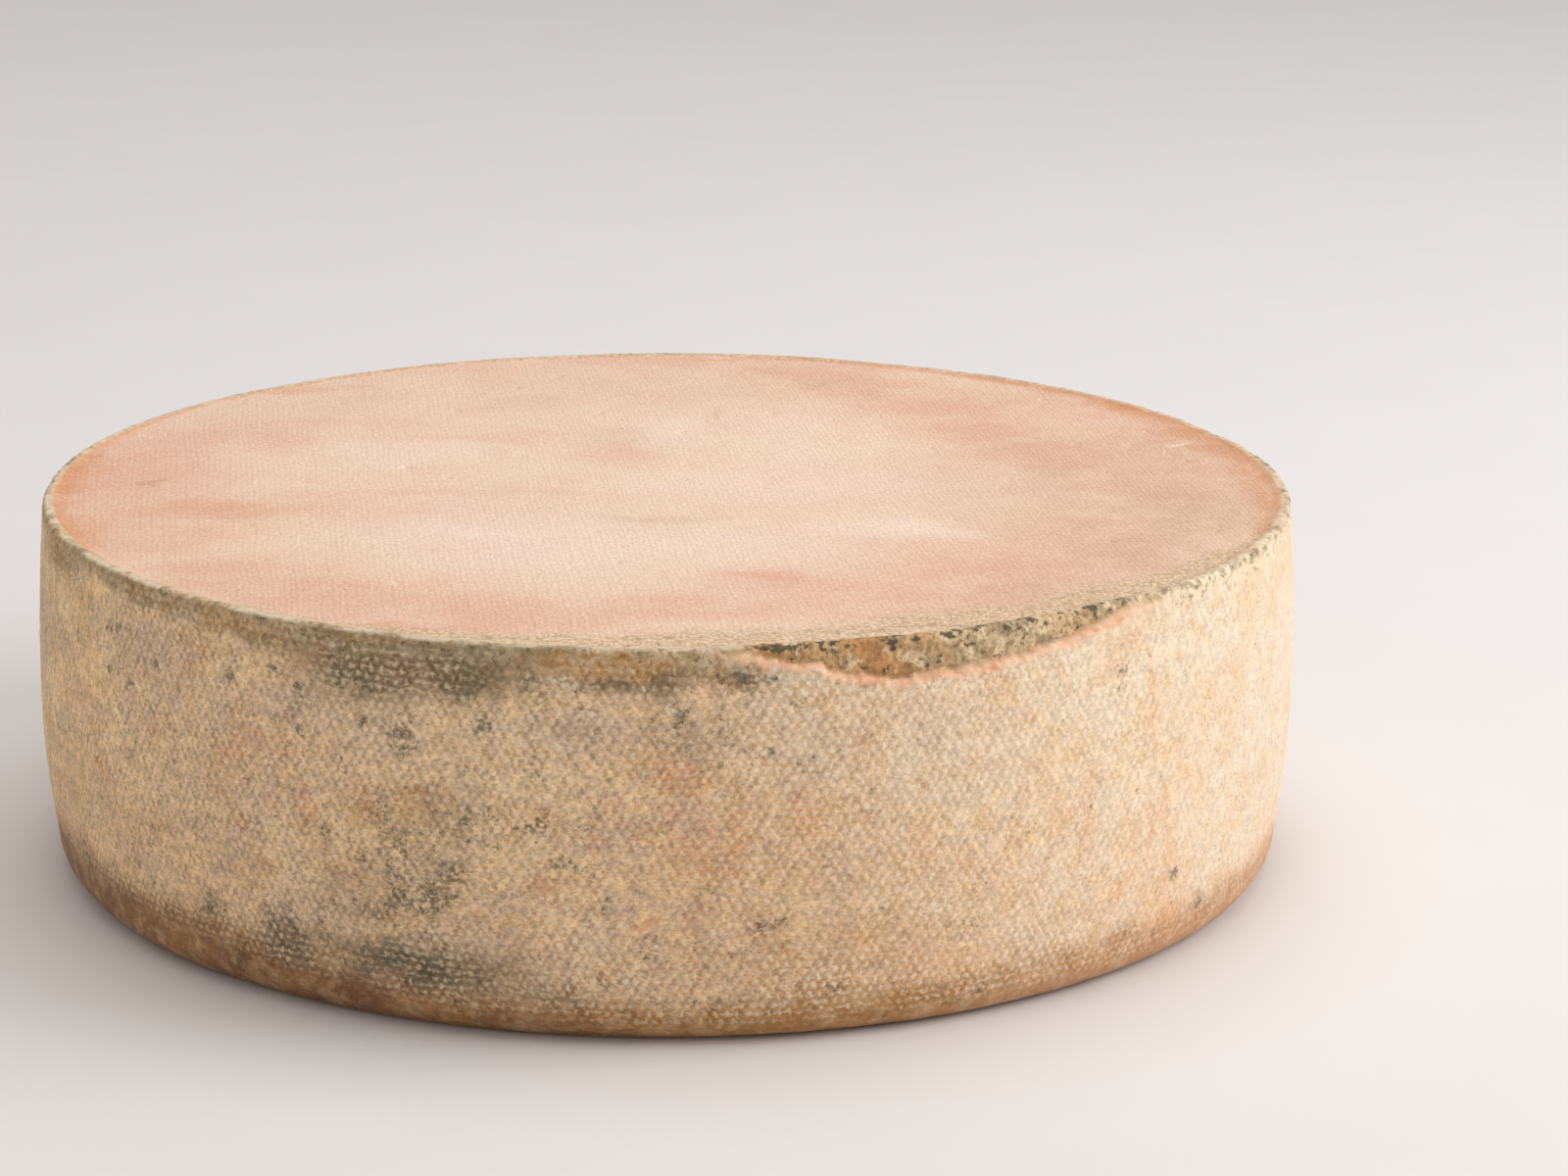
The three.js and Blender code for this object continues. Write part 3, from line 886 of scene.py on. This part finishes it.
def band_colour(nodes, blotches, fine):
    """The crust in the fold's band: brown and orange at its left, grey at its right, and spotted."""
    right = nodes.step(nodes.mask("cream"), 0.4, 0.85)
    brown = nodes.mix(nodes.step(blotches, 0.4, 0.6), "#A67C4C", "#C99E6C")
    grey = nodes.mix(nodes.step(blotches, 0.4, 0.6), "#A69473", "#D2BD98")
    crust = nodes.mix(right, brown, grey)
    orange = nodes.step(nodes.noise(9.0, 3.0), 0.42, 0.58, 0.0, 0.75)
    orange = nodes.times(orange, nodes.step(right, 0.0, 1.0, 1.0, 0.3))
    crust = nodes.mix(orange, crust, "#C08450")
    pale_lumps = nodes.step(nodes.noise(3.6, 3.0), 0.52, 0.62, 0.0, 0.8)
    crust = nodes.mix(pale_lumps, crust, "#DCC29C")
    crust = nodes.mix(nodes.step(fine, 0.46, 0.62, 0.0, 0.6), crust, "#7C653F")
    spots = nodes.math("ADD", nodes.noise(2.6, 4.0, 0.65), nodes.times(nodes.mask("edge"), 0.08))
    crust = nodes.mix(nodes.step(spots, 0.57, 0.66, 0.0, 0.9), crust, "#4C4838")
    return nodes.shade(crust, nodes.step(nodes.noise(1.0, 4.0, 0.7), 0.36, 0.64, 0.84, 1.2))


def rim_colour(nodes, colour):
    """Lays the fold's band, the crack, its crumbs and the crusty edge over the side's colour."""
    blotches, fine = nodes.noise(4.5, 4.0, 0.65), nodes.noise(1.3, 4.0, 0.65)
    band = nodes.mask("band")
    colour = nodes.mix(band, colour, band_colour(nodes, blotches, fine))
    crusty = nodes.times(nodes.mask("rough"), nodes.step(blotches, 0.4, 0.6, 0.2, 0.9))
    crusty = nodes.times(crusty, nodes.rest(band))
    flecked = nodes.mix(nodes.step(fine, 0.52, 0.6), "#EBD9B8", "#8A7757")
    colour = nodes.mix(crusty, colour, flecked)
    crumbs = nodes.times(nodes.mask("crumbs"), nodes.step(fine, 0.48, 0.58, 0.0, 0.8))
    colour = nodes.mix(crumbs, colour, "#F2E4C8")
    crack = nodes.times(nodes.mask("crack"), nodes.step(fine, 0.36, 0.58, 0.35, 1.0))
    crack_tone = nodes.mix(nodes.step(blotches, 0.4, 0.6), "#EDBFA0", "#DE9B77")
    return nodes.mix(crack, colour, crack_tone)


def top_ground(nodes):
    """The top face's pale ground, with rosy, orange, dull and pale patches."""
    broad = nodes.noise(34.0, 4.0, 0.55)
    colour = nodes.mix(nodes.step(broad, 0.38, 0.62), "#E6CBB1", "#E6C7B1")
    loose_rosy = nodes.step(nodes.noise(20.0, 5.0, 0.65), 0.5, 0.68, 0.0, 0.22)
    colour = nodes.mix(loose_rosy, colour, "#DDA88C")
    uneven = nodes.step(nodes.noise(12.0, 4.0, 0.65), 0.3, 0.6, 0.55, 1.0)
    colour = nodes.mix(nodes.times(nodes.mask("rosy_and_low_shade"), uneven, 0.9), colour, "#D9A086")
    colour = nodes.mix(nodes.times(nodes.mask("orange"), uneven, 0.9), colour, "#D48F62")
    colour = nodes.mix(nodes.times(nodes.mask("orange_rim"), uneven, 0.8), colour, "#CF8F62")
    colour = nodes.mix(nodes.times(nodes.mask("dull"), uneven, 0.7), colour, "#BE9677")
    return nodes.mix(nodes.times(nodes.mask("pale"), 0.7), colour, "#EFD9CC")


def top_colour(nodes, print_marks):
    """The top face's ground, with the tan border and the lines of the cloth laid over it."""
    grain = nodes.noise(1.2, 4.0, 0.65)
    colour = top_ground(nodes)
    tan = nodes.times(nodes.mask("tan"), nodes.step(nodes.noise(4.0, 4.0, 0.65), 0.35, 0.6, 0.45, 0.95))
    tan_tone = nodes.mix(nodes.step(grain, 0.38, 0.62), "#BA9B76", "#DFC5A4")
    colour = nodes.mix(tan, colour, tan_tone)
    specks = nodes.step(nodes.noise(2.4, 3.0, 0.6), 0.6, 0.67, 0.0, 0.6)
    colour = nodes.mix(nodes.times(nodes.mask("tan"), specks), colour, "#6F6347")

    share = print_marks.share
    faded = nodes.step(nodes.noise(9.0, 3.0, 0.6), 0.3, 0.65, 0.4, 1.0)
    furrows = nodes.times(nodes.step(print_marks.columns, -0.1, -0.9), share, faded, 0.16)
    colour = nodes.mix(furrows, colour, "#C4937A")
    ridges = nodes.times(nodes.step(print_marks.columns, 0.1, 0.9), nodes.step(grain, 0.42, 0.6), share)
    ridges = nodes.times(ridges, faded, 0.26)
    colour = nodes.mix(ridges, colour, "#F9E8DA")
    colour = nodes.shade(colour, nodes.step(grain, 0.36, 0.64, 0.91, 1.07))
    flecks = nodes.step(nodes.noise(1.5, 3.0, 0.6), 0.69, 0.74, 0.0, 0.5)
    return nodes.mix(flecks, colour, "#96745C")


def edge_colour(nodes, colour):
    """Lays the pale lip over the rim, and dark mould in the groove just outside it."""
    ragged = nodes.noise(3.0, 4.0, 0.65)
    off_band = nodes.rest(nodes.mask("band"))
    groove = nodes.times(nodes.mask("edge"), nodes.step(ragged, 0.46, 0.58, 0.0, 0.85), off_band)
    groove_tone = nodes.mix(nodes.step(nodes.noise(1.5), 0.4, 0.6), "#5F573E", "#A38B60")
    colour = nodes.mix(groove, colour, groove_tone)
    lip = nodes.times(nodes.mask("lip"), nodes.step(nodes.noise(7.0, 4.0, 0.65), 0.6, 0.44, 0.05, 0.9))
    return nodes.mix(lip, colour, "#EAD9C0")


def base_colour(nodes, print_marks):
    """The face it rests on: browner and damper than the rest, with the same print and mould."""
    clouds, damp = nodes.noise(14.0, 4.0, 0.6), nodes.noise(30.0, 4.0, 0.6)
    colour = nodes.mix(nodes.step(clouds, 0.35, 0.65), "#A67D54", "#C49C6E")
    colour = nodes.mix(nodes.step(damp, 0.48, 0.64, 0.0, 0.6), colour, "#82603E")
    colour = nodes.shade(colour, nodes.step(nodes.noise(1.0, 4.0, 0.7), 0.36, 0.64, 0.82, 1.18))
    specks = nodes.step(nodes.noise(2.2, 4.0, 0.7), 0.57, 0.68, 0.0, 0.7)
    colour = nodes.mix(specks, colour, "#5C523C")
    return nodes.mix(nodes.times(print_marks.tips, print_marks.share), colour, "#DFC095")


def rind_material():
    """The rind: the colours by place, the foot glossier than the rest, and a fine bump."""
    nodes = Nodes("cheese_rind")
    print_marks = cloth_print(nodes)
    side = rim_colour(nodes, side_colour(nodes, print_marks))
    colour = nodes.mix(nodes.mask("top"), side, top_colour(nodes, print_marks))
    colour = edge_colour(nodes, colour)
    colour = nodes.mix(nodes.mask("base"), colour, base_colour(nodes, print_marks))

    grain = nodes.noise(0.8, 4.0, 0.7)
    roughness = nodes.step(nodes.mask("foot"), 0.0, 1.0, 0.86, 0.62)
    roughness = nodes.math("SUBTRACT", roughness, nodes.times(nodes.step(grain, 0.4, 0.7), 0.08))
    on_top = nodes.mask("top")
    side_relief = nodes.times(nodes.step(print_marks.bumps, -0.3, 1.0), nodes.rest(on_top), 0.5)
    top_relief = nodes.times(print_marks.columns, on_top, 0.2)
    pressed = nodes.times(nodes.math("ADD", side_relief, top_relief), print_marks.share)
    relief = nodes.math("ADD", nodes.times(grain, 0.8), pressed)
    bump = nodes.add("ShaderNodeBump", {"Height": relief, "Strength": 0.6, "Distance": 0.35 * MM})
    return nodes.finish(colour, roughness, bump.outputs[0], **{"Specular IOR Level": 0.35})


# ---- The scene ----

# Where the camera stands. Distances are in wheel radii: how far off the base's centre is, and how
# far to the left of and below the middle of the picture it lies.
CAMERA_LENS = 97.1
CAMERA_LOOK_DOWN = math.radians(15.13)
CAMERA_ROLL = math.radians(0.427)
CAMERA_DISTANCE = 6.912
CAMERA_LEFT = 0.185
CAMERA_BELOW = 0.396


def show_wheel():
    wheel = bpy.data.objects.new("wheel_with_rind", wheel_mesh())
    bpy.context.scene.collection.objects.link(wheel)
    wheel.data.materials.append(rind_material())
    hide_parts(WHEEL_NODE)
    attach(wheel, "root")


def lay_floor():
    reach = 4.0
    corners = [(-reach, -reach, 0), (reach, -reach, 0), (reach, reach, 0), (-reach, reach, 0)]
    mesh = bpy.data.meshes.new("floor")
    mesh.from_pydata(corners, [], [(0, 1, 2, 3)])
    floor = bpy.data.objects.new("floor", mesh)
    bpy.context.scene.collection.objects.link(floor)
    nodes = Nodes("pale_floor")
    colour = nodes.mix(nodes.noise(60.0, 4.0), "#DDDAD9", "#E1DEDD")
    floor.data.materials.append(nodes.finish(colour, 0.8, None))


def aim(thing, target):
    thing.rotation_euler = (target - thing.location).to_track_quat("-Z", "Y").to_euler()


def soft_lamp(name, place, size, watts, colour):
    lamp = bpy.data.lights.new(name, "AREA")
    lamp.shape = "DISK"
    lamp.size = size
    lamp.energy = watts
    lamp.color = colour
    holder = bpy.data.objects.new(name, lamp)
    bpy.context.scene.collection.objects.link(holder)
    holder.location = place
    aim(holder, Vector((0, 0, WHEEL_HEIGHT / 2 * MM)))


def light_scene():
    soft_lamp("window_light", (1.5, -0.1, 0.85), 1.2, 18.5, (0.98, 0.985, 1.0))
    soft_lamp("ceiling_light", (0.1, 0.2, 1.9), 1.6, 10, (1.0, 0.99, 0.98))
    world = bpy.data.worlds.new("pale_room")
    world.use_nodes = True
    background = world.node_tree.nodes["Background"]
    background.inputs["Color"].default_value = linear("#F4F1EE")
    background.inputs["Strength"].default_value = 0.68
    bpy.context.scene.world = world
    bpy.context.scene.view_settings.view_transform = "Standard"


def place_camera():
    camera = bpy.data.cameras.new("camera")
    camera.lens = CAMERA_LENS
    camera.sensor_width = 36
    holder = bpy.data.objects.new("camera", camera)
    bpy.context.scene.collection.objects.link(holder)
    right = Vector((1, 0, 0))
    up = Vector((0, math.sin(CAMERA_LOOK_DOWN), math.cos(CAMERA_LOOK_DOWN)))
    back = Vector((0, -math.cos(CAMERA_LOOK_DOWN), math.sin(CAMERA_LOOK_DOWN)))
    place = CAMERA_LEFT * right + CAMERA_BELOW * up + CAMERA_DISTANCE * back
    holder.location = place * GIRTH_RADIUS * MM
    level = Matrix((right, up, back)).transposed()
    roll = Matrix.Rotation(CAMERA_ROLL, 4, "Z")
    holder.matrix_world = Matrix.Translation(holder.location) @ level.to_4x4() @ roll
    bpy.context.scene.camera = holder


place_camera()
light_scene()
lay_floor()
show_wheel()
